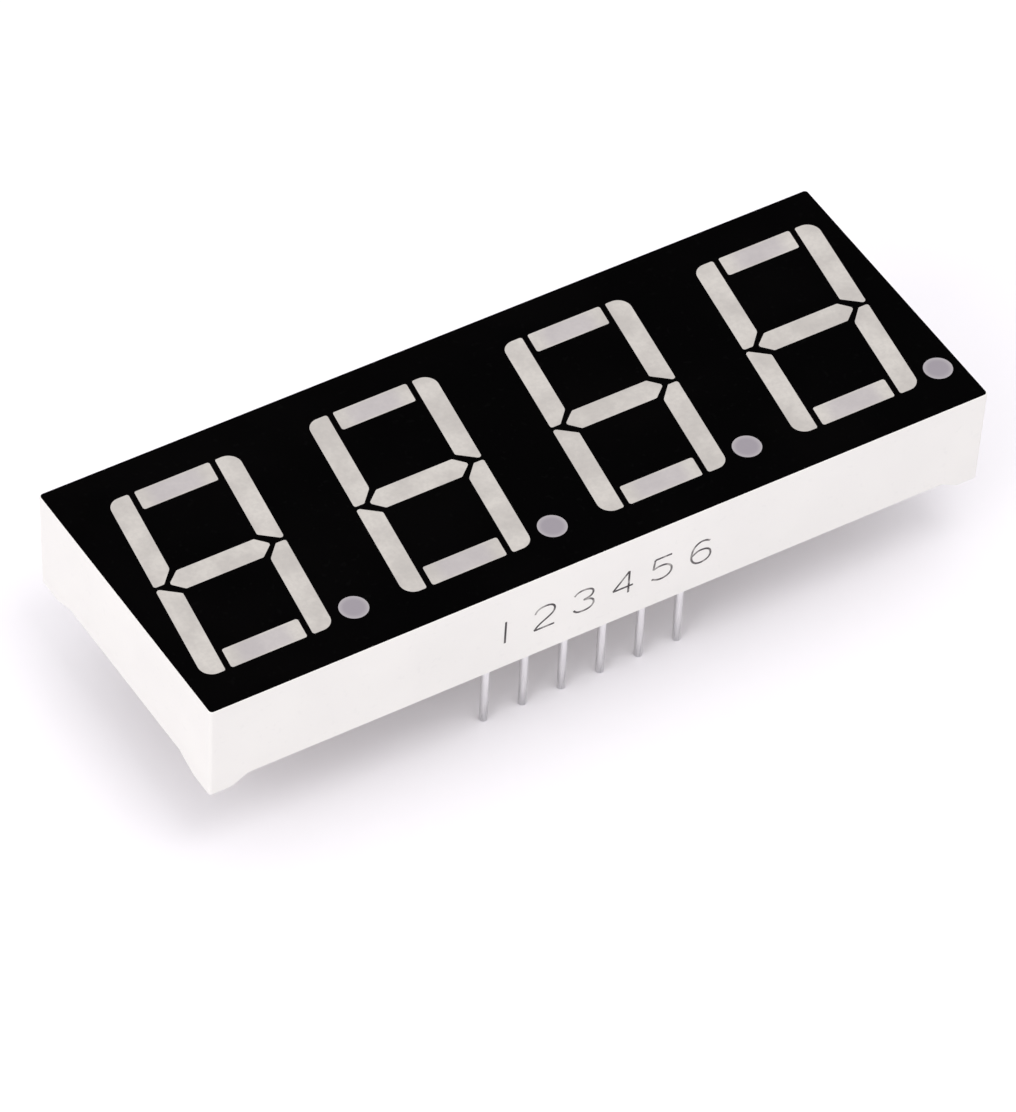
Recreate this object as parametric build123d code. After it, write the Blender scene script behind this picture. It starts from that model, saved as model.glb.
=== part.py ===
from build123d import *
import os
from math import atan2, degrees, radians, sin, tan

os.makedirs("parts", exist_ok=True)

# Seven segment display module, four digits in a row, for a printed circuit board.
# Frame: origin on the plane of the pin tips, under the middle of the face. +X runs along the
# row of digits, +Y towards their tops, +Z up out of the face. Millimetres.

# ---- reflector housing (white moulding)
LENGTH = 50.3            # face, along the digits
WIDTH = 19.0             # face, across the digits
BODY_DEPTH = 6.8         # face to the undersides of the feet
STANDOFF = 0.7           # feet stand this far below the rim
DRAFT = 1.2              # degrees, the outer walls lean in towards the feet
SIDE_WALL = 1.0          # long walls, at the feet
END_WALL = 0.65          # end walls, at the feet
CORNER_R = 0.2           # upright corners
FACE_EDGE_R = 0.08       # edge around the face
WEB_DEPTH = 3.7          # face to the underside of the web that the board lies under
FOOT_X = (1.2, 2.4)      # a foot's flat and its root, from the corner along the length
FOOT_Y = (1.45, 3.3)     # the same across the width
FOOT_ROOT_R = 0.55
FOOT_TOE_R = 0.3
FOOT_EDGE_R = 0.15       # round along the feet's outer edges
NUB_D = 1.2              # pads under the web that the board rests on
NUB_Y = 4.0              # they stand midway between the outer pairs of digits
END_BAR = 0.45           # width of the resting bar along each end wall

# ---- digits
DIGITS = 4
DIGIT_PITCH = 12.7
SLANT = 8.0              # degrees, the strokes lean to the right
DIGIT_TOP = 7.1          # half the digit height of 14.2
STROKE_OUT = 4.1         # outer and inner sides of the upright strokes, from the digit's axis
STROKE_IN = 2.75
BAR_END = 2.38           # half length of the top and bottom bars
BAR_THICK = 1.45
MID_TIP = 3.2            # middle bar: half length at the points and at the shoulders
MID_SHOULDER = 2.44
MID_THICK = 1.46
NOSE_X = 3.47            # blunt nose of the upper left stroke
NOSE_Y = 0.13
HIP_Y = 1.02             # where the strokes' slopes reach their inner sides
OUTER_R = 0.8            # large outer corners of the digit
SMALL_R = 0.14           # plain corners of the bars
TIP_R = 0.18             # slender points of the bars
HIP_R = 0.45             # inner bend of the strokes
DOT_X, DOT_Y = 4.7, -6.43
DOT_D = 1.7
DOT_LEAN = 0.2           # the dot's cavity leans this far towards its digit
CAVITY_LAND = 0.35       # straight part of each cavity under the face
CAVITY_FOOT = 0.62       # size of a cavity at the board, as a share of its window
DOT_FOOT = 0.68
CORE_X = 1.7             # half width of the sink cores inside each loop of a digit
CORE_Y = (1.9, 4.9)
CORE_DEPTH = 2.2

# ---- ink, resin, board
INK = 0.05               # black coat on the face
INK_INSET = 0.06         # bare edge left around the coat
FILM = 0.1               # resin film between web and board
BOARD_T = 1.2
BOARD_GAP = 0.15         # board edge to the housing's walls
REAR_RECESS = 0.4        # cast resin ends this far inside the rim
COPPER = 0.035
TRACK = 0.2
VIA_D = 0.3
PAD_RING = 0.2           # width of the round pad about each pin
LAND_D = 0.42            # round land under each bond wire
DIE_LAND = 0.42          # square land under each light chip

# ---- pins
PIN_D = 0.5
PIN_PITCH = 2.54
PIN_ROWS = 15.24
PINS_PER_ROW = 6
PIN_OUT = 5.2            # pin length below the feet
PIN_STUB = 0.4           # pin length above the board
SHANK_D = 0.46           # top of a pin, whose held part tapers from the rim up to press in
PIN_CHAMFER = 0.1
SLEEVE = 0.17            # plating and solder between a pin and its hole in the board
STUB_ROOM = 0.25         # slot around and above the pin stubs
SOLDER_H = 0.35

# ---- light chips and bond wires
DIE = 0.25
DIE_H = 0.2
DIE_EDGE = 0.03
WIRE_D = 0.04
BOND = 0.7               # chip to bond land, on the bars and strokes
DOT_DIE_Y = -6.63
DOT_BOND_Y = -6.1
LOW_BAR_BOND_Y = -6.62   # the bottom bar's land is set low, clear of the dot's track

# ---- heights
FEET_Z = PIN_OUT
RIM_Z = FEET_Z + STANDOFF
FACE_Z = FEET_Z + BODY_DEPTH
CASE_TOP = FACE_Z - INK
WEB_Z = FACE_Z - WEB_DEPTH
BOARD_TOP = WEB_Z - FILM
BOARD_LOW = BOARD_TOP - BOARD_T
REAR_Z = RIM_Z + REAR_RECESS

PARTS_OF_DIGIT = ("a", "b", "c", "d", "e", "f", "g", "dp")
PAD_D = PIN_D + 2 * PAD_RING
LEAN = tan(radians(SLANT))
STROKE_X = (STROKE_OUT + STROKE_IN) / 2
STROKE_Y = (DIGIT_TOP + NOSE_Y) / 2
BAR_Y = DIGIT_TOP - BAR_THICK / 2
FOOT_INSET = BODY_DEPTH * tan(radians(DRAFT))
ROOM_X = LENGTH - 2 * FOOT_INSET - 2 * END_WALL
ROOM_Y = WIDTH - 2 * FOOT_INSET - 2 * SIDE_WALL


def digit_centres():
    return [(i - (DIGITS - 1) / 2) * DIGIT_PITCH for i in range(DIGITS)]


def pin_places():
    """Pins 1 to 6 along the lower row from the left, 7 to 12 back along the upper row."""
    half = (PINS_PER_ROW - 1) / 2
    low = [((i - half) * PIN_PITCH, -PIN_ROWS / 2) for i in range(PINS_PER_ROW)]
    return low + [(-x, -y) for x, y in low]


def leaned(x, y):
    """A point of an upright digit, moved over by the slant."""
    return x + y * LEAN, y


def rounded_face(corners):
    """Flat face through (x, y, radius) corners, each one rounded by its own radius."""
    ends = []
    for i, (x, y, r) in enumerate(corners):
        here = Vector(x, y)
        back = (Vector(*corners[i - 1][:2]) - here).normalized()
        on = (Vector(*corners[(i + 1) % len(corners)][:2]) - here).normalized()
        half = radians(back.get_angle(on) / 2)
        run, mid = r / tan(half), r / sin(half) - r
        ends.append((here + back * run, here + (back + on).normalized() * mid, here + on * run))
    edges = []
    for i, (a, m, b) in enumerate(ends):
        edges += [ThreePointArc(a, m, b), Line(b, ends[(i + 1) % len(ends)][0])]
    return make_face(edges)


def turned(corners):
    """The same outline turned half a turn about the digit's middle."""
    return [(-x, -y, r) for x, y, r in corners]


def segment_outlines():
    """Corners of the seven bars of one digit, upright, about the digit's middle."""
    low = DIGIT_TOP - BAR_THICK
    mid = MID_THICK / 2
    a = [(-BAR_END, low, SMALL_R), (BAR_END, low, SMALL_R),
         (BAR_END, DIGIT_TOP, SMALL_R), (-BAR_END, DIGIT_TOP, SMALL_R)]
    f = [(-STROKE_OUT, NOSE_Y, SMALL_R), (-NOSE_X, NOSE_Y, SMALL_R), (-STROKE_IN, HIP_Y, HIP_R),
         (-STROKE_IN, DIGIT_TOP, SMALL_R), (-STROKE_OUT, DIGIT_TOP, OUTER_R)]
    b = [(STROKE_IN, HIP_Y - 0.07, SMALL_R), (STROKE_OUT, -0.05, TIP_R),
         (STROKE_OUT, DIGIT_TOP, OUTER_R), (STROKE_IN, DIGIT_TOP, SMALL_R)]
    g = [(-MID_TIP, 0, TIP_R), (-MID_SHOULDER, -mid, SMALL_R), (MID_SHOULDER, -mid, SMALL_R),
         (MID_TIP, 0, TIP_R), (MID_SHOULDER, mid, SMALL_R), (-MID_SHOULDER, mid, SMALL_R)]
    return {"a": a, "b": b, "c": turned(f), "d": turned(a), "e": turned(b), "f": f, "g": g}


def segment_middle(name):
    """Upright middle of a bar, where its light chip sits."""
    return {"a": (0, BAR_Y), "b": (STROKE_X, STROKE_Y), "c": (STROKE_X, -STROKE_Y),
            "d": (0, -BAR_Y), "e": (-STROKE_X, -STROKE_Y), "f": (-STROKE_X, STROKE_Y),
            "g": (0, 0)}[name]


def window(name):
    """Flat outline of one bar or dot on the face, leaned."""
    if name == "dp":
        return Pos(DOT_X, DOT_Y) * Circle(DOT_D / 2)
    return rounded_face([(*leaned(x, y), r) for x, y, r in segment_outlines()[name]])


def well_foot(name):
    """Flat outline of a light well at the board, drawn in about its chip."""
    if name == "dp":
        return Pos(DOT_X - DOT_LEAN, DOT_Y) * Circle(DOT_D / 2 * DOT_FOOT)
    (mx, my), k = segment_middle(name), CAVITY_FOOT
    corners = [(mx + (x - mx) * k, my + (y - my) * k, r * k) for x, y, r in segment_outlines()[name]]
    return rounded_face([(*leaned(x, y), r) for x, y, r in corners])


def cavity(name):
    """Light well under one window: a short straight land, then a taper down to the board."""
    neck = FACE_Z - CAVITY_LAND
    land = extrude(Pos(0, 0, neck) * window(name), CAVITY_LAND)
    return land + loft([Pos(0, 0, neck) * window(name), Pos(0, 0, WEB_Z) * well_foot(name)], ruled=True)


def all_cavities():
    one = [cavity(name) for name in PARTS_OF_DIGIT]
    return [Pos(x, 0, 0) * well for x in digit_centres() for well in one]


def room(low, high):
    """Block that fills the housing's rear room between two heights."""
    return extrude(Pos(0, 0, low) * RectangleRounded(ROOM_X, ROOM_Y, CORNER_R), high - low)


def stub_slots():
    """Slots in the web's underside over the two rows of pin stubs."""
    width = PIN_D + 2 * STUB_ROOM
    length = (PINS_PER_ROW - 1) * PIN_PITCH + width
    high = BOARD_TOP + PIN_STUB + STUB_ROOM
    slot = extrude(Pos(0, 0, WEB_Z) * SlotOverall(length, width), high - WEB_Z)
    return [Pos(0, s * PIN_ROWS / 2, 0) * slot for s in (-1, 1)]


def sink_cores():
    """Blind cores inside both loops of each digit, open to the rear."""
    low, high = CORE_Y
    up = [(-CORE_X, low, 0.4), (CORE_X, low, 0.4), (CORE_X, high, 0.4), (-CORE_X, high, 0.4)]
    cores = []
    for corners in (up, turned(up)):
        face = rounded_face([(*leaned(x, y), r) for x, y, r in corners])
        cores.append(extrude(Pos(0, 0, WEB_Z) * face, CORE_DEPTH))
    return [Pos(x, 0, 0) * core for x in digit_centres() for core in cores]


def rests():
    """Pads and end bars under the web, which hold the board a film's thickness off it."""
    nub = extrude(Pos(0, 0, BOARD_TOP) * Circle(NUB_D / 2), FILM)
    items = [Pos(sx * DIGIT_PITCH, sy * NUB_Y, 0) * nub for sx in (-1, 1) for sy in (-1, 1)]
    for s in (-1, 1):
        bar = Pos(s * (ROOM_X - END_BAR) / 2, 0, BOARD_TOP) * Rectangle(END_BAR, ROOM_Y - 2)
        items.append(extrude(bar, FILM))
    return items


def foot_gap(half, foot):
    """Side view of the gap between two feet: flat under the rim, sloping down each foot."""
    toe, root = half - foot[0], half - foot[1]
    deep = FEET_Z - 1.0
    return rounded_face([(-toe, deep, 0.05), (toe, deep, 0.05), (toe, FEET_Z, FOOT_TOE_R),
                         (root, RIM_Z, FOOT_ROOT_R), (-root, RIM_Z, FOOT_ROOT_R),
                         (-toe, FEET_Z, FOOT_TOE_R)])


def make_housing():
    foot_x, foot_y = LENGTH - 2 * FOOT_INSET, WIDTH - 2 * FOOT_INSET
    top = Pos(0, 0, CASE_TOP) * RectangleRounded(LENGTH, WIDTH, CORNER_R)
    low = Pos(0, 0, FEET_Z) * RectangleRounded(foot_x, foot_y, CORNER_R)
    block = loft([low, top], ruled=True)
    block = fillet(block.edges().group_by(Axis.Z)[-1], FACE_EDGE_R)
    block = fillet(block.edges().group_by(Axis.Z)[0], FOOT_EDGE_R)
    block -= room(FEET_Z - 1, WEB_Z)
    side = Plane.XZ * foot_gap(foot_x / 2, FOOT_X)
    end = Plane.YZ * foot_gap(foot_y / 2, FOOT_Y)
    block -= extrude(side, WIDTH, both=True)
    block -= extrude(end, LENGTH, both=True)
    for cut in all_cavities() + stub_slots() + sink_cores():
        block -= cut
    for rest in rests():
        block += rest
    return block


def make_ink():
    sheet = RectangleRounded(LENGTH - 2 * INK_INSET, WIDTH - 2 * INK_INSET, CORNER_R)
    coat = extrude(Pos(0, 0, CASE_TOP) * sheet, INK)
    windows = [extrude(Pos(x, 0, CASE_TOP - INK) * face, 3 * INK)
               for x in digit_centres() for face in map(window, PARTS_OF_DIGIT)]
    return coat - windows


# ---- board, its twelve copper nets, pins and solder

def chip_places():
    """Chip and bond land of each bar and dot of one digit, leaned, about the digit's middle."""
    places = {}
    bonds = {"a": (-BOND, BAR_Y), "b": (STROKE_X, STROKE_Y - BOND), "c": (STROKE_X, -STROKE_Y - BOND),
             "d": (BOND, LOW_BAR_BOND_Y), "e": (-STROKE_X, BOND - STROKE_Y),
             "f": (-STROKE_X, STROKE_Y + BOND), "g": (BOND, 0)}
    for name, bond in bonds.items():
        places[name] = (leaned(*segment_middle(name)), leaned(*bond))
    x = DOT_X - DOT_LEAN
    places["dp"] = ((x, DOT_DIE_Y), (x, DOT_BOND_Y))
    return places


def make_board():
    board = Pos(0, 0, BOARD_LOW) * RectangleRounded(ROOM_X - 2 * BOARD_GAP, ROOM_Y - 2 * BOARD_GAP,
                                                    CORNER_R)
    board = extrude(board, BOARD_T)
    hole = extrude(Pos(0, 0, BOARD_LOW) * Circle(PIN_D / 2 + SLEEVE), BOARD_T)
    via = extrude(Pos(0, 0, BOARD_LOW) * Circle(VIA_D / 2), BOARD_T)
    board -= [Pos(x, y, 0) * hole for x, y in pin_places()]
    board -= [Pos(x, y, 0) * via for x, y in via_places()]
    return board


def net_pins():
    """Pin place of each net: common of each digit, then the eight segment lines."""
    names = ["e", "d", "dp", "c", "g", "digit4", "b", "digit3", "digit2", "f", "a", "digit1"]
    return dict(zip(names, pin_places()))


def segment_routes():
    """Way from each segment line's straight rear track to its pin, as (layer, points)."""
    pins = net_pins()
    rear = {n: bond[1] for n, (die, bond) in chip_places().items()}
    gap = DIGIT_PITCH / 2
    side = gap - 1.05
    near = PIN_ROWS / 2 - 0.62
    under = -PIN_ROWS / 2 + 0.67
    routes = {"a": [("rear", [(pins["a"][0], rear["a"]), pins["a"]])],
              "d": [("rear", [(pins["d"][0], rear["d"]), pins["d"]])],
              "f": [("front", [(pins["f"][0], rear["f"]), pins["f"]])],
              "c": [("front", [(pins["c"][0], rear["c"]), pins["c"]])],
              "b": [("front", [(side, rear["b"]), (side, near), pins["b"]])],
              "e": [("front", [(-side, rear["e"]), (-side, -near), pins["e"]])],
              "dp": [("front", [(-0.6, rear["dp"]), (-0.6, -near), pins["dp"]])],
              "g": [("front", [(0.6, rear["g"]), (0.6, under)]),
                    ("rear", [(0.6, under), (pins["g"][0], under), pins["g"]])]}
    return routes


def via_places():
    """Plated holes: one at each bond land, and where a route changes side."""
    places = [(x + bond[0], bond[1]) for x in digit_centres() for die, bond in chip_places().values()]
    for name, parts in segment_routes().items():
        for layer, points in parts:
            if layer == "front":
                places.append(points[0])
    return places + [segment_routes()["g"][0][1][-1]]


def strip(points, layer, width=TRACK):
    """One track of copper through the points, on the board's front or rear."""
    z = BOARD_TOP if layer == "front" else BOARD_LOW - COPPER
    track = []
    for (x1, y1), (x2, y2) in zip(points, points[1:]):
        turn = degrees(atan2(y2 - y1, x2 - x1))
        middle = Pos((x1 + x2) / 2, (y1 + y2) / 2, z) * Rot(0, 0, turn)
        run = Vector(x2 - x1, y2 - y1).length
        track.append(extrude(middle * SlotCenterToCenter(run, width), COPPER))
    return track


def round_land(place, diameter, layer):
    z = BOARD_TOP if layer == "front" else BOARD_LOW - COPPER
    return extrude(Pos(*place, z) * Circle(diameter / 2), COPPER)


def plug(place):
    """Filled plated hole through the board."""
    return extrude(Pos(*place, BOARD_LOW) * Circle(VIA_D / 2), BOARD_T)


def pin_land(place):
    """Pads on both sides and the plated sleeve that holds the pin."""
    z = BOARD_LOW - COPPER
    high = BOARD_T + 2 * COPPER
    body = extrude(Pos(*place, z) * Circle(PIN_D / 2 + SLEEVE), high)
    body += round_land(place, PAD_D, "rear")
    return body + round_land(place, PAD_D, "front")


def pin_wire():
    """Round wire about Z: straight up to the rim, then a slight taper through resin and board."""
    top = BOARD_TOP + PIN_STUB
    shank = Cone(PIN_D / 2, SHANK_D / 2, top - RIM_Z)
    return extrude(Circle(PIN_D / 2), RIM_Z) + Pos(0, 0, (RIM_Z + top) / 2) * shank


def joined(pieces, place):
    """One net's copper, with its pin's hole drilled through it."""
    net = Part() + pieces + pin_land(place)
    return net - Pos(*place, 0) * pin_wire()


def segment_net(name):
    die, (bond_x, bond_y) = chip_places()[name]
    lands = [(x + bond_x, bond_y) for x in digit_centres()]
    route = segment_routes()[name]
    xs = [p[0] for p in lands] + [route[0][1][0][0]]
    pieces = strip([(min(xs), bond_y), (max(xs), bond_y)], "rear")
    for place in lands:
        pieces += [plug(place), round_land(place, LAND_D, "front"), round_land(place, LAND_D, "rear")]
    for layer, points in route:
        pieces += strip(points, layer)
        if layer == "front":
            pieces += [plug(points[0]), round_land(points[0], LAND_D, "rear")]
    if len(route) > 1:
        pieces.append(plug(route[0][1][-1]))
    return joined(pieces, net_pins()[name])


def digit_net(number):
    """Common net of one digit: a land under each chip, joined by two rails and a cross bar."""
    x0 = digit_centres()[number - 1]
    pin = net_pins()["digit%d" % number]
    rail, cross = 2.2, -1.2

    def at(x, y):
        lx, ly = leaned(x, y)
        return x0 + lx, ly

    places = {n: (x0 + die[0], die[1]) for n, (die, bond) in chip_places().items()}
    ways = [[places["a"], at(rail, BAR_Y), at(rail, -STROKE_Y), places["c"]],
            [places["d"], at(-rail, -BAR_Y), at(-rail, STROKE_Y), places["f"]],
            [at(-rail, cross), at(rail, cross)], [places["g"], at(-rail, 0)],
            [places["b"], at(rail, STROKE_Y)], [places["e"], at(-rail, -STROKE_Y)],
            [places["c"], at(STROKE_X + 0.98, -STROKE_Y), at(STROKE_X + 0.98, DOT_DIE_Y), places["dp"]]]
    near = PIN_ROWS / 2 - 0.62
    if number == 1:
        corner = at(rail, BAR_Y)
        ways.append([corner, (corner[0], pin[1]), pin])
    if number == 2:
        ways.append([places["b"], (0, STROKE_Y), (0, near), pin])
    if number == 3:
        ways.append([places["f"], (PIN_PITCH + 0.06, STROKE_Y), (PIN_PITCH + 0.06, near), pin])
    if number == 4:
        corner = at(-rail, -BAR_Y)
        ways.append([corner, (corner[0], pin[1]), pin])
    pieces = []
    for way in ways:
        pieces += strip(way, "front")
    for x, y in places.values():
        pieces.append(extrude(Pos(x, y, BOARD_TOP) * Rectangle(DIE_LAND, DIE_LAND), COPPER))
    return joined(pieces, pin)


def make_copper():
    nets = [segment_net(name) for name in PARTS_OF_DIGIT]
    return nets + [digit_net(number + 1) for number in range(DIGITS)]


def make_pin(place):
    pin = Pos(*place, 0) * pin_wire()
    ends = pin.edges().group_by(Axis.Z)
    return chamfer(ends[0] + ends[-1], PIN_CHAMFER)


def make_solder():
    """Solder cone around each pin, on its rear pad."""
    top = BOARD_LOW - COPPER
    cone = Pos(0, 0, top - SOLDER_H / 2) * Cone(PIN_D / 2 + 0.06, PAD_D / 2, SOLDER_H)
    cone -= pin_wire()
    return [Pos(x, y, 0) * cone for x, y in pin_places()]


# ---- light chips and bond wires

def make_die():
    die = extrude(Pos(0, 0, BOARD_TOP + COPPER) * Rectangle(DIE, DIE), DIE_H)
    return chamfer(die.edges().group_by(Axis.Z)[-1], DIE_EDGE)


def make_wire(die, bond):
    """Gold wire: up from the chip, half round, then straight down on its land."""
    foot = BOARD_TOP + COPPER
    high = foot + DIE_H
    start, end = Vector(*die, high), Vector(*bond, high)
    apex = (start + end) * 0.5 + Vector(0, 0, (end - start).length / 2)
    loop = sweep(Plane(start, z_dir=(0, 0, 1)) * Circle(WIRE_D / 2), path=ThreePointArc(start, apex, end))
    return loop + extrude(Pos(*bond, foot) * Circle(WIRE_D / 2), DIE_H)


def make_resin(inner):
    """Cast diffusing resin: fills the wells flush with the face and coats the board's rear."""
    cast = room(REAR_Z, WEB_Z) - rests()
    cast = cast + (all_cavities() + stub_slots() + sink_cores())
    cast -= extrude(Pos(0, 0, BOARD_LOW) * RectangleRounded(
        ROOM_X - 2 * BOARD_GAP, ROOM_Y - 2 * BOARD_GAP, CORNER_R), BOARD_T)
    return cast - inner


def solids_of(shapes):
    return [solid for shape in shapes for solid in shape.solids()]


def save(shapes, name):
    solids = solids_of(shapes)
    export_step(solids[0] if len(solids) == 1 else Compound(solids), "parts/%s.step" % name)
    return solids


def main():
    save([make_housing()], "reflector_housing")
    save([make_ink()], "face_ink")
    save([make_board()], "circuit_board")
    inner = save(make_copper(), "copper_nets")
    inner += save(make_solder(), "pin_solder")
    for number, place in enumerate(pin_places(), 1):
        inner += save([make_pin(place)], "pin_%02d" % number)
    for number, x in enumerate(digit_centres(), 1):
        wires = []
        for name, (die, bond) in chip_places().items():
            inner += save([Pos(x + die[0], die[1], 0) * make_die()], "chip_%d%s" % (number, name))
            wires.append(Pos(x, 0, 0) * make_wire(die, bond))
        inner += save(wires, "bond_wires_%d" % number)
    save([make_resin(inner)], "diffuser_resin")


main()
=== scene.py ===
import math
import bmesh
import bpy
from mathutils import Matrix, Vector


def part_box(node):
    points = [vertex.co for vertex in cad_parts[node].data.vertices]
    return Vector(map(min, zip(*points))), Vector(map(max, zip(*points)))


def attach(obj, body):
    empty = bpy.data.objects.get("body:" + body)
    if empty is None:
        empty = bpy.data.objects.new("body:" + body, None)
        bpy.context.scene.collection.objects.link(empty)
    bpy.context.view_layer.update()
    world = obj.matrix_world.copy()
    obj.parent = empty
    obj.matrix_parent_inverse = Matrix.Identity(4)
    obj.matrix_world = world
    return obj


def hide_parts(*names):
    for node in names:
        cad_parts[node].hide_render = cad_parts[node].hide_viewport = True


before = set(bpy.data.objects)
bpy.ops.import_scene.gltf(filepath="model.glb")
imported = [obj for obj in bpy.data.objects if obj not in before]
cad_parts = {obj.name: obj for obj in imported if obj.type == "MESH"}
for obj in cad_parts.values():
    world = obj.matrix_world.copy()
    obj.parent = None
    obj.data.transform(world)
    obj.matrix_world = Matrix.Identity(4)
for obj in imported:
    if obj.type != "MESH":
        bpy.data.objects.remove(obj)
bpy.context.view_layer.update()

# ---------------------------------------------------------------- Reflector housing
# One white moulding in a titanium-filled plastic: face plate, light wells, drafted walls and
# four corner feet. The tool leaves a fine spark-eroded grain and slow drifts of shade.
WHITE_PLASTIC = (0.880, 0.864, 0.835, 1)
WHITE_SHADE = (0.850, 0.834, 0.808, 1)


def group_sockets(name, inputs, outputs):
    group = bpy.data.node_groups.new(name, "ShaderNodeTree")
    for label, kind, value in inputs:
        socket = group.interface.new_socket(label, in_out="INPUT", socket_type="NodeSocket" + kind)
        if value is not None:
            socket.default_value = value
    for label, kind in outputs:
        group.interface.new_socket(label, in_out="OUTPUT", socket_type="NodeSocket" + kind)
    return group, group.nodes.new("NodeGroupInput"), group.nodes.new("NodeGroupOutput")


def math_node(tree, operation, a, b=None, clamp=False):
    node = tree.nodes.new("ShaderNodeMath")
    node.operation = operation
    node.use_clamp = clamp
    for slot, value in zip(node.inputs, (a, b)):
        if isinstance(value, bpy.types.NodeSocket):
            tree.links.new(value, slot)
        elif value is not None:
            slot.default_value = value
    return node.outputs[0]


def ramped(tree, value, low, high, start=0.0, end=1.0):
    node = tree.nodes.new("ShaderNodeMapRange")
    node.interpolation_type = "SMOOTHSTEP"
    tree.links.new(value, node.inputs["Value"])
    for label, number in (("From Min", low), ("From Max", high), ("To Min", start), ("To Max", end)):
        node.inputs[label].default_value = number
    return node.outputs["Result"]


def noise(tree, vector, size, detail=3.0, rough=0.55):
    """Noise whose features are about this size, in metres or in a linked size."""
    node = tree.nodes.new("ShaderNodeTexNoise")
    node.inputs["Detail"].default_value = detail
    node.inputs["Roughness"].default_value = rough
    tree.links.new(vector, node.inputs["Vector"])
    tree.links.new(math_node(tree, "DIVIDE", 1.0, size), node.inputs["Scale"])
    return node.outputs["Fac"]


# Grain, slow drift and small specks, shared by every moulded, cast and printed finish.
moulded_grain, way_in, way_out = group_sockets(
    "moulded grain",
    [("Place", "Vector", None), ("Grain Size", "Float", 0.00008), ("Drift Size", "Float", 0.008),
     ("Speck Size", "Float", 0.0005)],
    [("Grain", "Float"), ("Drift", "Float"), ("Specks", "Float")])
spot = way_in.outputs["Place"]
for label, size, detail in (("Grain", "Grain Size", 2.0), ("Drift", "Drift Size", 3.0)):
    moulded_grain.links.new(noise(moulded_grain, spot, way_in.outputs[size], detail), way_out.inputs[label])
raw = noise(moulded_grain, spot, way_in.outputs["Speck Size"], 1.0)
moulded_grain.links.new(ramped(moulded_grain, raw, 0.66, 0.74), way_out.inputs["Specks"])


def new_finish(name, roughness, metallic=0.0, specular=0.5):
    """A material with its shader, its Object coordinates and its constants on the shader."""
    material = bpy.data.materials.new(name)
    material.use_nodes = True
    tree = material.node_tree
    shader = tree.nodes["Principled BSDF"]
    shader.inputs["Metallic"].default_value = metallic
    shader.inputs["Roughness"].default_value = roughness
    shader.inputs["Specular IOR Level"].default_value = specular
    place = tree.nodes.new("ShaderNodeTexCoord").outputs["Object"]
    return material, tree, shader, place


def use_group(tree, group, place, **values):
    node = tree.nodes.new("ShaderNodeGroup")
    node.node_tree = group
    tree.links.new(place, node.inputs["Place"])
    for label, value in values.items():
        node.inputs[label.replace("_", " ")].default_value = value
    return node


def blended(tree, amount, first, second):
    """Colour between two colours or sockets."""
    node = tree.nodes.new("ShaderNodeMix")
    node.data_type = "RGBA"
    for slot, value in ((node.inputs[0], amount), (node.inputs[6], first), (node.inputs[7], second)):
        if isinstance(value, bpy.types.NodeSocket):
            tree.links.new(value, slot)
        else:
            slot.default_value = value
    return node.outputs[2]


def bumped(tree, shader, height, strength, distance):
    node = tree.nodes.new("ShaderNodeBump")
    node.inputs["Strength"].default_value = strength
    node.inputs["Distance"].default_value = distance
    tree.links.new(height, node.inputs["Height"])
    tree.links.new(node.outputs["Normal"], shader.inputs["Normal"])


def dress(names, material):
    """Gives CAD nodes their finish."""
    for name in names:
        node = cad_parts[name]
        node.data.materials.clear()
        node.data.materials.append(material)


white_finish, tree, shader, place = new_finish("white moulded plastic", 0.42, specular=0.45)
grain = use_group(tree, moulded_grain, place, Grain_Size=0.00007, Drift_Size=0.011, Speck_Size=0.0004)
drift = ramped(tree, grain.outputs["Drift"], 0.35, 0.65)
tone = blended(tree, drift, WHITE_PLASTIC, WHITE_SHADE)
fleck = math_node(tree, "MULTIPLY", grain.outputs["Specks"], 0.12)
tree.links.new(blended(tree, fleck, tone, (0.70, 0.69, 0.68, 1)), shader.inputs["Base Color"])
tree.links.new(ramped(tree, grain.outputs["Grain"], 0.3, 0.7, 0.36, 0.50), shader.inputs["Roughness"])
bumped(tree, shader, grain.outputs["Grain"], 0.25, 0.000008)
dress(["reflector_housing"], white_finish)

# ---------------------------------------------------------------- Black coat on the face
# Dead matt black ink, pad printed on the face plate and open at every bar and dot. It is
# thin enough to follow the plastic's grain, and a few specks are painted lighter as painted sheen.
black_finish, tree, shader, place = new_finish("matt black ink", 0.95, specular=0.02)
grain = use_group(tree, moulded_grain, place, Grain_Size=0.00009, Drift_Size=0.009, Speck_Size=0.00035)
drift = ramped(tree, grain.outputs["Drift"], 0.35, 0.65)
tone = blended(tree, drift, (0.0006, 0.0005, 0.0006, 1), (0.0012, 0.0010, 0.0011, 1))
# Painted sheen: a few specks are painted a lighter black.
fleck = math_node(tree, "MULTIPLY", grain.outputs["Specks"], 0.25)
tree.links.new(blended(tree, fleck, tone, (0.004, 0.004, 0.004, 1)), shader.inputs["Base Color"])
tree.links.new(ramped(tree, grain.outputs["Grain"], 0.3, 0.7, 0.90, 1.0), shader.inputs["Roughness"])
bumped(tree, shader, grain.outputs["Grain"], 0.2, 0.000006)
dress(["face_ink"], black_finish)

# ---------------------------------------------------------------- Cast diffusing resin
# Milky epoxy poured in from the rear against a tape on the face, so it ends flush with the
# ink. Filler clouds it unevenly, and the top and bottom bars are a little greyer at their
# middles. Each dot is painted darker, as painted shade down its narrow well, less so at its rim.
RESIN_LIGHT = (0.590, 0.560, 0.525, 1)
RESIN_SHADE = (0.490, 0.462, 0.436, 1)
RESIN_BAR = (0.425, 0.392, 0.420, 1)
# Painted shade for the dots' narrow wells, not a colour of the resin.
RESIN_DOT_PAINTED_SHADE = (0.300, 0.272, 0.305, 1)
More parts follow.
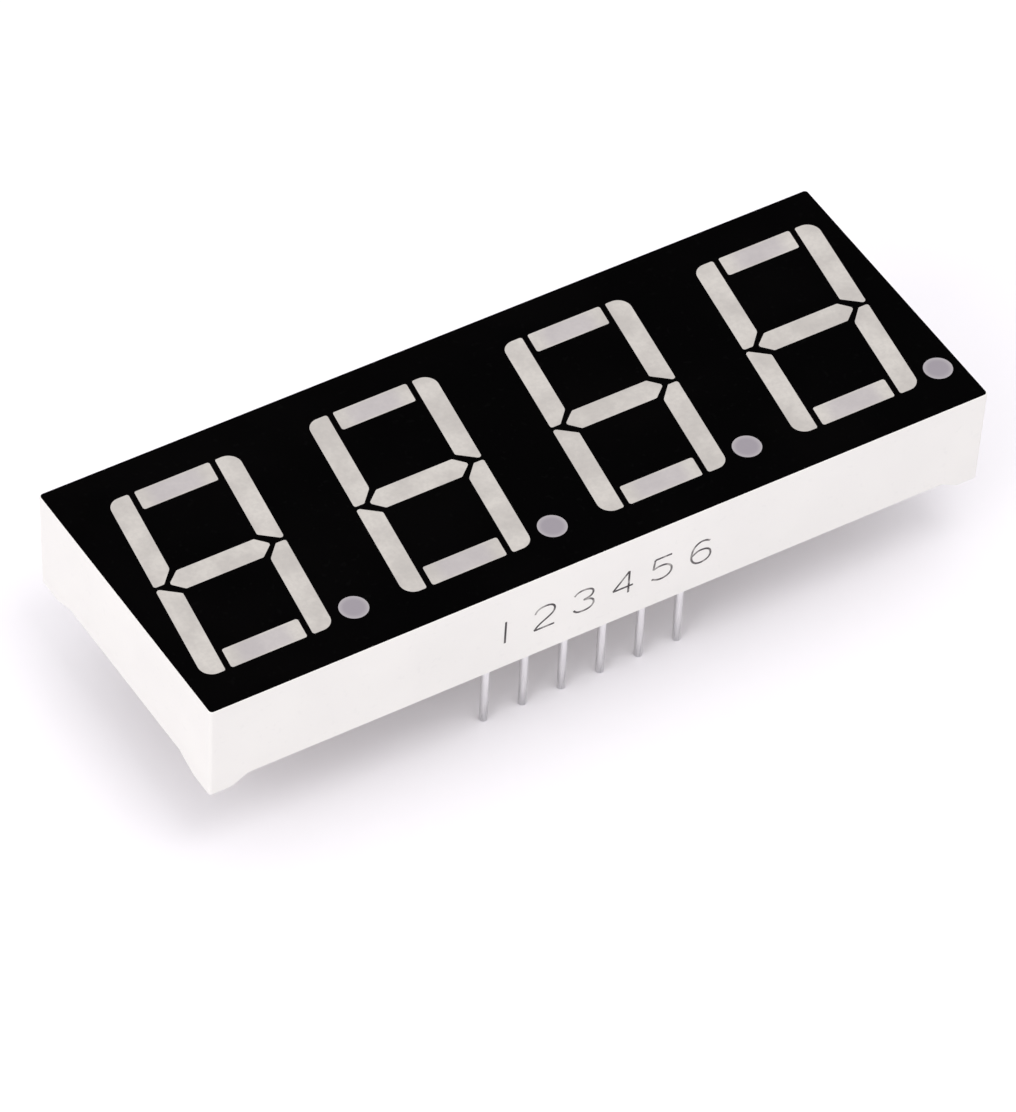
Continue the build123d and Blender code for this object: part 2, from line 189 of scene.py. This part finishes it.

# Where a point lies on the digits: masks for the dots, for where their painted well shade
# eases off towards the rim, and for the flat bars' middles.
digit_places, way_in, way_out = group_sockets(
    "digit places",
    [("Place", "Vector", None), ("Digit Pitch", "Float", 0.0127), ("Slant", "Float", 0.1405),
     ("Dot Across", "Float", 0.0047), ("Dot Down", "Float", 0.00643), ("Bar Height", "Float", 0.006375)],
    [("Dot", "Float"), ("Well Shade Fade", "Float"), ("Bar", "Float")])
parts = digit_places.nodes.new("ShaderNodeSeparateXYZ")
digit_places.links.new(way_in.outputs["Place"], parts.inputs[0])
across, along = parts.outputs[0], parts.outputs[1]
pitch = way_in.outputs["Digit Pitch"]
half = math_node(digit_places, "MULTIPLY", pitch, 0.5)


def within_digit(value):
    """Distance from the nearest digit's own zero, for digits repeated at the pitch."""
    wrapped = math_node(digit_places, "FLOORED_MODULO", value, pitch)
    return math_node(digit_places, "SUBTRACT", wrapped, half)


dot_x = within_digit(math_node(digit_places, "SUBTRACT", across, way_in.outputs["Dot Across"]))
dot_y = math_node(digit_places, "ADD", along, way_in.outputs["Dot Down"])
squares = math_node(digit_places, "ADD", math_node(digit_places, "MULTIPLY", dot_x, dot_x),
                    math_node(digit_places, "MULTIPLY", dot_y, dot_y))
from_dot = math_node(digit_places, "SQRT", squares)
digit_places.links.new(ramped(digit_places, from_dot, 0.00100, 0.00092), way_out.inputs["Dot"])
# Where the painted shade inside each dot eases off towards its rim.
digit_places.links.new(ramped(digit_places, from_dot, 0.00050, 0.00092), way_out.inputs["Well Shade Fade"])
upright = math_node(digit_places, "SUBTRACT", across,
                    math_node(digit_places, "MULTIPLY", along, way_in.outputs["Slant"]))
from_axis = math_node(digit_places, "ABSOLUTE", within_digit(upright))
from_bar = math_node(digit_places, "SUBTRACT", math_node(digit_places, "ABSOLUTE", along),
                     way_in.outputs["Bar Height"])
from_bar = math_node(digit_places, "ABSOLUTE", from_bar)
middle = math_node(digit_places, "MULTIPLY", ramped(digit_places, from_axis, 0.0021, 0.0011),
                   ramped(digit_places, from_bar, 0.0008, 0.0005))
digit_places.links.new(middle, way_out.inputs["Bar"])


def resin_tone(tree, mottle):
    """Clouded resin colour, with the mottle's slow and fine parts mixed in."""
    drift = ramped(tree, mottle.outputs["Drift"], 0.32, 0.68)
    tone = blended(tree, drift, RESIN_LIGHT, RESIN_SHADE)
    fine = math_node(tree, "MULTIPLY", ramped(tree, mottle.outputs["Grain"], 0.35, 0.65), 0.22)
    return blended(tree, fine, tone, (0.40, 0.38, 0.37, 1))


resin_finish, tree, shader, place = new_finish("diffusing resin", 0.38, specular=0.4)
mottle = use_group(tree, moulded_grain, place, Grain_Size=0.00022, Drift_Size=0.0023, Speck_Size=0.0003)
spots = use_group(tree, digit_places, place)
tone = resin_tone(tree, mottle)
tone = blended(tree, math_node(tree, "MULTIPLY", spots.outputs["Bar"], 0.55), tone, RESIN_BAR)
# Each dot is painted darker as painted shade down its narrow well, less dark near the rim.
painted_well_shade = blended(tree, math_node(tree, "MULTIPLY", spots.outputs["Well Shade Fade"], 0.6), RESIN_DOT_PAINTED_SHADE,
               (0.47, 0.445, 0.455, 1))
tree.links.new(blended(tree, spots.outputs["Dot"], tone, painted_well_shade), shader.inputs["Base Color"])
tree.links.new(ramped(tree, mottle.outputs["Grain"], 0.3, 0.7, 0.30, 0.46), shader.inputs["Roughness"])
bumped(tree, shader, mottle.outputs["Drift"], 0.3, 0.00003)
dress(["diffuser_resin"], resin_finish)

# ---------------------------------------------------------------- Rear surface of the casting
# The poured resin sets level inside the rim, creeps up the walls and round each pin in a
# small meniscus, and keeps a few shallow pour marks. It is the same resin, seen from behind.
ROOM_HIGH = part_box("circuit_board")[1]
ROOM_GAP = 0.00015
REAR_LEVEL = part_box("diffuser_resin")[0].z
REAR_LIFT = 0.00002
CREEP = 0.00013
CREEP_REACH = 0.00022
RIPPLE = 0.000012
RIPPLE_EDGE = 0.002
SKIN_DEPTH = 0.00005
STEPS_ALONG, STEPS_ACROSS = 240, 110
PIN_RADIUS = 0.00025
PIN_NAMES = ["pin_%02d" % number for number in range(1, 13)]
pin_spots = [(low + high) / 2 for low, high in map(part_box, PIN_NAMES)]

half_x = ROOM_HIGH.x + ROOM_GAP
half_y = ROOM_HIGH.y + ROOM_GAP


def stations(half_width, count, fine):
    """Steps across the room that crowd towards both walls."""
    steps = [math.sin(math.pi / 2 * (2 * i / count - 1)) for i in range(count + 1)]
    return [half_width * ((1 - fine) * (2 * i / count - 1) + fine * s) for i, s in enumerate(steps)]


rows_x, rows_y = stations(half_x, STEPS_ALONG, 0.5), stations(half_y, STEPS_ACROSS, 0.45)
mesh = bmesh.new()
skin, back = [], []
for x in rows_x:
    for y in rows_y:
        wall = min(half_x - abs(x), half_y - abs(y))
        pin = max(min(math.hypot(x - p.x, y - p.y) for p in pin_spots) - PIN_RADIUS, 0)
        rise = CREEP * (math.exp(-wall / CREEP_REACH) + math.exp(-pin / CREEP_REACH))
        wave = RIPPLE * math.sin(x * 410 + 1.3) * math.cos(y * 530 - x * 120)
        level = REAR_LEVEL - REAR_LIFT - min(rise, CREEP) + wave * min(1, wall / RIPPLE_EDGE)
        skin.append(mesh.verts.new((x, y, level)))
        back.append(mesh.verts.new((x, y, REAR_LEVEL + SKIN_DEPTH)))
wide = len(rows_y)
for i in range(len(rows_x) - 1):
    for j in range(wide - 1):
        a, b, c, d = i * wide + j, (i + 1) * wide + j, (i + 1) * wide + j + 1, i * wide + j + 1
        mesh.faces.new((skin[a], skin[d], skin[c], skin[b]))
        mesh.faces.new((back[a], back[b], back[c], back[d]))
border = [i * wide for i in range(len(rows_x))]
border += [(len(rows_x) - 1) * wide + j for j in range(1, wide)]
border += [i * wide + wide - 1 for i in range(len(rows_x) - 2, -1, -1)]
border += [j for j in range(wide - 2, 0, -1)]
for a, b in zip(border, border[1:] + border[:1]):
    mesh.faces.new((skin[a], skin[b], back[b], back[a]))
bmesh.ops.recalc_face_normals(mesh, faces=mesh.faces)
data = bpy.data.meshes.new("rear casting skin")
mesh.to_mesh(data)
mesh.free()
data.polygons.foreach_set("use_smooth", [True] * len(data.polygons))
rear_skin = bpy.data.objects.new("rear_casting_skin", data)
bpy.context.scene.collection.objects.link(rear_skin)

rear_finish, tree, shader, place = new_finish("resin at the rear", 0.25, specular=0.5)
mottle = use_group(tree, moulded_grain, place, Grain_Size=0.00045, Drift_Size=0.005, Speck_Size=0.0006)
tone = resin_tone(tree, mottle)
bubble = math_node(tree, "MULTIPLY", mottle.outputs["Specks"], 0.35)
tree.links.new(blended(tree, bubble, tone, (0.76, 0.75, 0.72, 1)), shader.inputs["Base Color"])
tree.links.new(ramped(tree, mottle.outputs["Drift"], 0.3, 0.7, 0.16, 0.34), shader.inputs["Roughness"])
bumped(tree, shader, mottle.outputs["Specks"], 0.35, 0.00002)
data.materials.append(rear_finish)
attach(rear_skin, "root")

# ---------------------------------------------------------------- Circuit board
# Glass cloth and epoxy laminate, cut to drop inside the walls and held under the web by the
# casting. The cloth shows as a faint square weave.
board_finish, tree, shader, place = new_finish("glass cloth laminate", 0.55)
grain = use_group(tree, moulded_grain, place, Grain_Size=0.0001, Drift_Size=0.004, Speck_Size=0.0006)
wave = tree.nodes.new("ShaderNodeTexChecker")
wave.inputs["Scale"].default_value = 1800
wave.inputs["Color1"].default_value = (0.60, 0.58, 0.36, 1)
wave.inputs["Color2"].default_value = (0.53, 0.51, 0.31, 1)
tree.links.new(place, wave.inputs["Vector"])
tone = blended(tree, ramped(tree, grain.outputs["Drift"], 0.3, 0.7, 0, 0.6), wave.outputs["Color"],
               (0.64, 0.60, 0.42, 1))
tree.links.new(tone, shader.inputs["Base Color"])
bumped(tree, shader, wave.outputs["Fac"], 0.2, 0.00001)
dress(["circuit_board"], board_finish)

# ---------------------------------------------------------------- Copper, solder
# Twelve etched nets with their lands and plated holes, and a solder cone at each pin.
# Copper tarnishes in clouds; the solder is bright with a slightly frosted skin.
copper_finish, tree, shader, place = new_finish("etched copper", 0.3, metallic=1.0)
grain = use_group(tree, moulded_grain, place, Grain_Size=0.00006, Drift_Size=0.0015, Speck_Size=0.0002)
tree.links.new(blended(tree, ramped(tree, grain.outputs["Drift"], 0.3, 0.7), (0.78, 0.46, 0.31, 1),
                       (0.60, 0.34, 0.22, 1)), shader.inputs["Base Color"])
tree.links.new(ramped(tree, grain.outputs["Grain"], 0.3, 0.7, 0.22, 0.42), shader.inputs["Roughness"])
dress(["copper_nets"], copper_finish)

solder_finish, tree, shader, place = new_finish("bright solder", 0.3, metallic=1.0)
grain = use_group(tree, moulded_grain, place, Grain_Size=0.00005, Drift_Size=0.0008, Speck_Size=0.0002)
tree.links.new(blended(tree, grain.outputs["Drift"], (0.74, 0.74, 0.75, 1), (0.60, 0.61, 0.63, 1)),
               shader.inputs["Base Color"])
tree.links.new(ramped(tree, grain.outputs["Grain"], 0.3, 0.7, 0.2, 0.4), shader.inputs["Roughness"])
bumped(tree, shader, grain.outputs["Drift"], 0.2, 0.00001)
dress(["pin_solder"], solder_finish)

# ---------------------------------------------------------------- Light chips
# Thirty-two sawn semiconductor chips, one under each bar and dot, on their copper lands.
# Their sides are frosted by the saw.
chip_finish, tree, shader, place = new_finish("light chip", 0.35)
grain = use_group(tree, moulded_grain, place, Grain_Size=0.00002, Drift_Size=0.0002, Speck_Size=0.00008)
tree.links.new(blended(tree, grain.outputs["Drift"], (0.40, 0.16, 0.14, 1), (0.24, 0.10, 0.10, 1)),
               shader.inputs["Base Color"])
tree.links.new(ramped(tree, grain.outputs["Grain"], 0.3, 0.7, 0.2, 0.6), shader.inputs["Roughness"])
dress([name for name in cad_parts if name.startswith("chip_")], chip_finish)

# ---------------------------------------------------------------- Bond wires
# Gold wire, drawn through diamond dies, from the top of each chip over to its land.
# Drawing lines run along drawn metal; the pins below use them too.
drawn_lines, way_in, way_out = group_sockets(
    "drawn lines",
    [("Place", "Vector", None), ("Line Width", "Float", 0.00004), ("Line Length", "Float", 0.003)],
    [("Lines", "Float"), ("Tarnish", "Float")])
parts = drawn_lines.nodes.new("ShaderNodeSeparateXYZ")
drawn_lines.links.new(way_in.outputs["Place"], parts.inputs[0])
joined = drawn_lines.nodes.new("ShaderNodeCombineXYZ")
for axis, size in ((0, "Line Width"), (1, "Line Width"), (2, "Line Length")):
    step = math_node(drawn_lines, "DIVIDE", parts.outputs[axis], way_in.outputs[size])
    drawn_lines.links.new(step, joined.inputs[axis])
drawn_lines.links.new(noise(drawn_lines, joined.outputs[0], 1.0, 2.0), way_out.inputs["Lines"])
drawn_lines.links.new(noise(drawn_lines, way_in.outputs["Place"], 0.0009, 3.0), way_out.inputs["Tarnish"])

gold_finish, tree, shader, place = new_finish("gold wire", 0.2, metallic=1.0)
lines = use_group(tree, drawn_lines, place, Line_Width=0.000008, Line_Length=0.0004)
tree.links.new(blended(tree, lines.outputs["Tarnish"], (1.0, 0.77, 0.34, 1), (0.90, 0.66, 0.26, 1)),
               shader.inputs["Base Color"])
tree.links.new(ramped(tree, lines.outputs["Lines"], 0.3, 0.7, 0.12, 0.3), shader.inputs["Roughness"])
dress([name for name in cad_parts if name.startswith("bond_wires")], gold_finish)

# ---------------------------------------------------------------- Pins
# Twelve tin-plated round wires in two rows of six, cropped to length by a shear that leaves
# a small burr-free bevel, pressed through the board and soldered. They carry the module.
PIN_BEVEL = 0.0001
PIN_SIDES = 40
MERGE = 0.000002
PIN_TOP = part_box("pin_01")[1].z
PIN_PITCH = 0.00254
ROW_SPACING = 0.01524
PIN_COUNT = 6

tin_finish, tree, shader, place = new_finish("tin plating", 0.3, metallic=1.0)
lines = use_group(tree, drawn_lines, place, Line_Width=0.00003, Line_Length=0.004)
tree.links.new(blended(tree, lines.outputs["Tarnish"], (0.90, 0.895, 0.90, 1), (0.78, 0.772, 0.79, 1)),
               shader.inputs["Base Color"])
tree.links.new(ramped(tree, lines.outputs["Lines"], 0.3, 0.7, 0.24, 0.42), shader.inputs["Roughness"])
bumped(tree, shader, lines.outputs["Lines"], 0.25, 0.000006)

pin_rows = bpy.data.node_groups.new("pin rows", "GeometryNodeTree")
pin_rows.interface.new_socket("Geometry", in_out="OUTPUT", socket_type="NodeSocketGeometry")
pin_sizes = {"Radius": PIN_RADIUS, "Bevel": PIN_BEVEL, "Length": PIN_TOP, "Pitch": PIN_PITCH,
             "Row Spacing": ROW_SPACING}
for label in pin_sizes:
    pin_rows.interface.new_socket(label, in_out="INPUT", socket_type="NodeSocketFloat")
pin_rows.interface.new_socket("Pins per Row", in_out="INPUT", socket_type="NodeSocketInt")
given = pin_rows.nodes.new("NodeGroupInput").outputs


def geometry(kind, **inputs):
    """A node of the pin tree, with numbers set and sockets linked into its inputs."""
    node = pin_rows.nodes.new("GeometryNode" + kind)
    feed(node, inputs)
    return node


def feed(node, inputs):
    for label, value in inputs.items():
        slot = node.inputs[label.replace("_", " ")]
        for one in value if isinstance(value, list) else [value]:
            if isinstance(one, bpy.types.NodeSocket):
                pin_rows.links.new(one, slot)
            else:
                slot.default_value = one


def number(operation, a, b):
    return math_node(pin_rows, operation, a, b)


def offset(x=0.0, y=0.0, z=0.0):
    node = pin_rows.nodes.new("ShaderNodeCombineXYZ")
    feed(node, {"X": x, "Y": y, "Z": z})
    return node.outputs[0]


shaft_length = number("SUBTRACT", given["Length"], number("MULTIPLY", given["Bevel"], 2.0))
shaft = geometry("MeshCylinder", Vertices=PIN_SIDES, Radius=given["Radius"], Depth=shaft_length)
shaft.fill_type = "NONE"
shaft = geometry("Transform", Geometry=shaft.outputs["Mesh"],
                 Translation=offset(z=number("MULTIPLY", given["Length"], 0.5)))
tip_radius = number("SUBTRACT", given["Radius"], given["Bevel"])
ends = []
for low in (True, False):
    tip = geometry("MeshCone", Vertices=PIN_SIDES, Depth=given["Bevel"],
                   Radius_Top=given["Radius"] if low else tip_radius,
                   Radius_Bottom=tip_radius if low else given["Radius"])
    tip.fill_type = "NGON"
    high = 0.0 if low else number("SUBTRACT", given["Length"], given["Bevel"])
    moved = geometry("Transform", Geometry=tip.outputs["Mesh"], Translation=offset(z=high))
    inner = tip.outputs["Top" if low else "Bottom"]
    keep = geometry("DeleteGeometry", Geometry=moved.outputs["Geometry"], Selection=inner)
    keep.domain = "FACE"
    keep.mode = "ONLY_FACE"
    ends.append(keep.outputs["Geometry"])
pin = geometry("JoinGeometry", Geometry=[shaft.outputs["Geometry"], *ends])
pin = geometry("MergeByDistance", Geometry=pin.outputs["Geometry"], Distance=MERGE)
row_start = number("MULTIPLY", number("MULTIPLY", number("SUBTRACT", given["Pins per Row"], 1.0),
                                      given["Pitch"]), -0.5)
rows = []
for side in (-0.5, 0.5):
    line = geometry("MeshLine", Count=given["Pins per Row"], Offset=offset(x=given["Pitch"]),
                    Start_Location=offset(x=row_start, y=number("MULTIPLY", given["Row Spacing"], side)))
    rows.append(line.outputs["Mesh"])
spots = geometry("JoinGeometry", Geometry=rows)
placed = geometry("InstanceOnPoints", Points=spots.outputs["Geometry"], Instance=pin.outputs["Geometry"])
real = geometry("RealizeInstances", Geometry=placed.outputs["Instances"])
painted = geometry("SetMaterial", Geometry=real.outputs["Geometry"], Material=tin_finish)
pin_rows.links.new(painted.outputs["Geometry"],
                   pin_rows.nodes.new("NodeGroupOutput").inputs["Geometry"])

maker = bpy.data.objects.new("pin maker", bpy.data.meshes.new("pin maker"))
bpy.context.scene.collection.objects.link(maker)
rule = maker.modifiers.new("pin rows", "NODES")
rule.node_group = pin_rows
for item in pin_rows.interface.items_tree:
    if item.item_type == "SOCKET" and item.in_out == "INPUT":
        rule[item.identifier] = PIN_COUNT if item.name == "Pins per Row" else pin_sizes[item.name]
bpy.context.view_layer.update()
data = bpy.data.meshes.new_from_object(maker.evaluated_get(bpy.context.evaluated_depsgraph_get()))
bpy.data.objects.remove(maker)
for face in data.polygons:
    face.use_smooth = abs(face.normal.z) < 0.5
pins = bpy.data.objects.new("pins", data)
bpy.context.scene.collection.objects.link(pins)
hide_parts(*PIN_NAMES)
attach(pins, "root")

# ---------------------------------------------------------------- Pin numbers on the wall
# Plain pin numbers in even pen strokes, printed in thin grey ink on the near wall, one over
# each pin. The ink lies on the drafted wall and fades where the pad left it thin.
NUMBER_HEIGHT = 0.0017
NUMBER_WIDTH = 0.0013
NUMBER_LEVEL = 0.0078
STROKE_WIDTH = 0.00013
INK_THICK = 0.000006
WALL_TOP, WALL_FACE, WALL_DRAFT = 0.01195, -0.0095, math.radians(1.2)
# Each number's pen path, across and up in a box one wide and one high.
NUMBER_PATHS = {
    1: [[(0.5, 0), (0.5, 1)]],
    2: [[(0, 0.76), (0.1, 0.92), (0.35, 1), (0.7, 1), (0.93, 0.9), (1, 0.74), (0.93, 0.58),
         (0.72, 0.44), (0.2, 0.2), (0, 0)], [(0, 0), (1, 0)]],
    3: [[(0, 0.84), (0.15, 0.96), (0.4, 1), (0.7, 0.98), (0.93, 0.88), (0.95, 0.7), (0.8, 0.57),
         (0.4, 0.53), (0.8, 0.49), (1, 0.35), (0.98, 0.14), (0.75, 0.02), (0.4, 0), (0.12, 0.05),
         (0, 0.18)]],
    4: [[(0.78, 0), (0.78, 1)], [(0.78, 1), (0, 0.3)], [(0, 0.3), (1, 0.3)]],
    5: [[(0.95, 1), (0.12, 1)], [(0.12, 1), (0.05, 0.56)],
        [(0.05, 0.56), (0.35, 0.64), (0.7, 0.62), (0.95, 0.48), (1, 0.3), (0.92, 0.12), (0.65, 0),
         (0.3, 0), (0, 0.12)]],
    6: [[(0.92, 0.9), (0.7, 1), (0.4, 1), (0.12, 0.82), (0, 0.5), (0.04, 0.2), (0.3, 0), (0.7, 0),
         (0.95, 0.14), (1, 0.32), (0.92, 0.5), (0.68, 0.6), (0.32, 0.6), (0.03, 0.42)]]}

number_ink, tree, shader, place = new_finish("grey marking ink", 0.6, specular=0.3)
grain = use_group(tree, moulded_grain, place, Grain_Size=0.00009, Drift_Size=0.0006, Speck_Size=0.0002)
fade = ramped(tree, grain.outputs["Drift"], 0.42, 0.68)
tree.links.new(blended(tree, fade, (0.06, 0.052, 0.056, 1), (0.42, 0.405, 0.39, 1)),
               shader.inputs["Base Color"])


def pen_stroke(mesh, path, half):
    """Closed ribbon of ink along a path, with its turns rounded by cutting each corner thrice."""
    for cutting in range(3):
        cut = [path[0]]
        for a, b in zip(path, path[1:]):
            cut += [a.lerp(b, 0.25), a.lerp(b, 0.75)]
        path = cut + [path[-1]]
    sides = []
    for i, point in enumerate(path):
        along = (path[min(i + 1, len(path) - 1)] - path[max(i - 1, 0)]).normalized()
        off = Vector((-along.y, along.x, 0)) * half
        sides.append([point + off, point - off])
    rings = [[mesh.verts.new(p + Vector((0, 0, z))) for p, z in
              ((left, 0), (right, 0), (right, INK_THICK), (left, INK_THICK))] for left, right in sides]
    for one, two in zip(rings, rings[1:]):
        for k in range(4):
            mesh.faces.new((one[k], one[(k + 1) % 4], two[(k + 1) % 4], two[k]))
    mesh.faces.new(rings[0])
    mesh.faces.new(rings[-1][::-1])


mesh = bmesh.new()
wall = WALL_FACE + (WALL_TOP - NUMBER_LEVEL) * math.tan(WALL_DRAFT)
stand = Matrix.Rotation(math.radians(90) + WALL_DRAFT, 4, "X")
for index, strokes in NUMBER_PATHS.items():
    at_pin = Matrix.Translation(((index - 3.5) * PIN_PITCH, wall, NUMBER_LEVEL)) @ stand
    for stroke in strokes:
        path = [Vector(((x - 0.5) * NUMBER_WIDTH, y * NUMBER_HEIGHT, 0)) for x, y in stroke]
        one = bmesh.new()
        pen_stroke(one, path, STROKE_WIDTH / 2)
        bmesh.ops.transform(one, matrix=at_pin, verts=one.verts)
        data = bpy.data.meshes.new("pin number")
        one.to_mesh(data)
        one.free()
        mesh.from_mesh(data)
bmesh.ops.recalc_face_normals(mesh, faces=mesh.faces)
data = bpy.data.meshes.new("pin numbers")
mesh.to_mesh(data)
mesh.free()
data.materials.append(number_ink)
pin_numbers = bpy.data.objects.new("pin_numbers", data)
bpy.context.scene.collection.objects.link(pin_numbers)
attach(pin_numbers, "root")

# ---------------------------------------------------------------- Floor and light
# A plain pale sweep under the pin tips, in a soft room whose ceiling is brighter than its
# walls, with one broad weak lamp from the left and one from the front.
FLOOR_COLOUR = (0.915, 0.898, 0.935, 1)
FLOOR_HALF = 3.0
FLOOR_GLOW = 0.05
WALL_LIGHT, CEILING_LIGHT = 0.53, 1.06
LAMP_TINT = (1.0, 0.99, 0.975)
LAMP_AIM = Vector((0, 0, 0.008))
data = bpy.data.meshes.new("floor")
mesh = bmesh.new()
bmesh.ops.create_grid(mesh, x_segments=8, y_segments=8, size=FLOOR_HALF)
mesh.to_mesh(data)
mesh.free()
floor = bpy.data.objects.new("floor", data)
bpy.context.scene.collection.objects.link(floor)
floor_finish, tree, shader, place = new_finish("pale floor", 0.9, specular=0.0)
shader.inputs["Base Color"].default_value = FLOOR_COLOUR
shader.inputs["Emission Color"].default_value = (1, 1, 1, 1)
seen = tree.nodes.new("ShaderNodeLightPath")
seen_by = math_node(tree, "MAXIMUM", seen.outputs["Is Camera Ray"], seen.outputs["Is Glossy Ray"])
glow = math_node(tree, "MULTIPLY", seen_by, FLOOR_GLOW)
tree.links.new(glow, shader.inputs["Emission Strength"])
data.materials.append(floor_finish)

world = bpy.data.worlds.new("studio")
bpy.context.scene.world = world
world.use_nodes = True
tree = world.node_tree
sky = tree.nodes["Background"]
sky.inputs["Color"].default_value = (1.0, 0.99, 1.0, 1)
seen = tree.nodes.new("ShaderNodeLightPath")
direct = math_node(tree, "MAXIMUM", seen.outputs["Is Camera Ray"], seen.outputs["Is Transmission Ray"])
parts = tree.nodes.new("ShaderNodeSeparateXYZ")
tree.links.new(tree.nodes.new("ShaderNodeTexCoord").outputs["Generated"], parts.inputs[0])
ceiling = ramped(tree, parts.outputs[2], 0.05, 0.95, WALL_LIGHT, CEILING_LIGHT)
tree.links.new(math_node(tree, "MAXIMUM", ceiling, direct), sky.inputs["Strength"])

for name, spot, size, power in (("left softbox", (-0.62, -0.22, 0.42), 0.50, 1.6),
                                ("front softbox", (0.03, -0.25, 0.70), 0.26, 0.8)):
    lamp = bpy.data.lights.new(name, "AREA")
    lamp.size = size
    lamp.energy = power
    lamp.color = LAMP_TINT
    holder = bpy.data.objects.new(name, lamp)
    holder.location = spot
    holder.rotation_mode = "QUATERNION"
    holder.rotation_quaternion = (LAMP_AIM - Vector(spot)).to_track_quat("-Z", "Y")
    bpy.context.scene.collection.objects.link(holder)

# ---------------------------------------------------------------- Camera
# A long lens, high and to the left of the near side, looking down along the digits.
FOCAL_LENGTH = 294.6
EYE = Vector((-0.196925, -0.298455, 0.369288))
LOOK_RIGHT = Vector((0.85423, -0.51864, 0.03614)).normalized()
LOOK_FORWARD = Vector((0.38442, 0.58329, -0.71554)).normalized()
look_up = LOOK_RIGHT.cross(LOOK_FORWARD).normalized()
lens = bpy.data.cameras.new("camera")
lens.sensor_fit = "AUTO"
lens.sensor_width = 36.0
lens.lens = FOCAL_LENGTH
lens.clip_start = 0.01
lens.clip_end = 10.0
camera = bpy.data.objects.new("camera", lens)
turn = Matrix((LOOK_RIGHT, look_up, -LOOK_FORWARD)).transposed()
camera.matrix_world = Matrix.Translation(EYE) @ turn.to_4x4()
bpy.context.scene.collection.objects.link(camera)
bpy.context.scene.camera = camera
bpy.context.scene.view_settings.view_transform = "Standard"
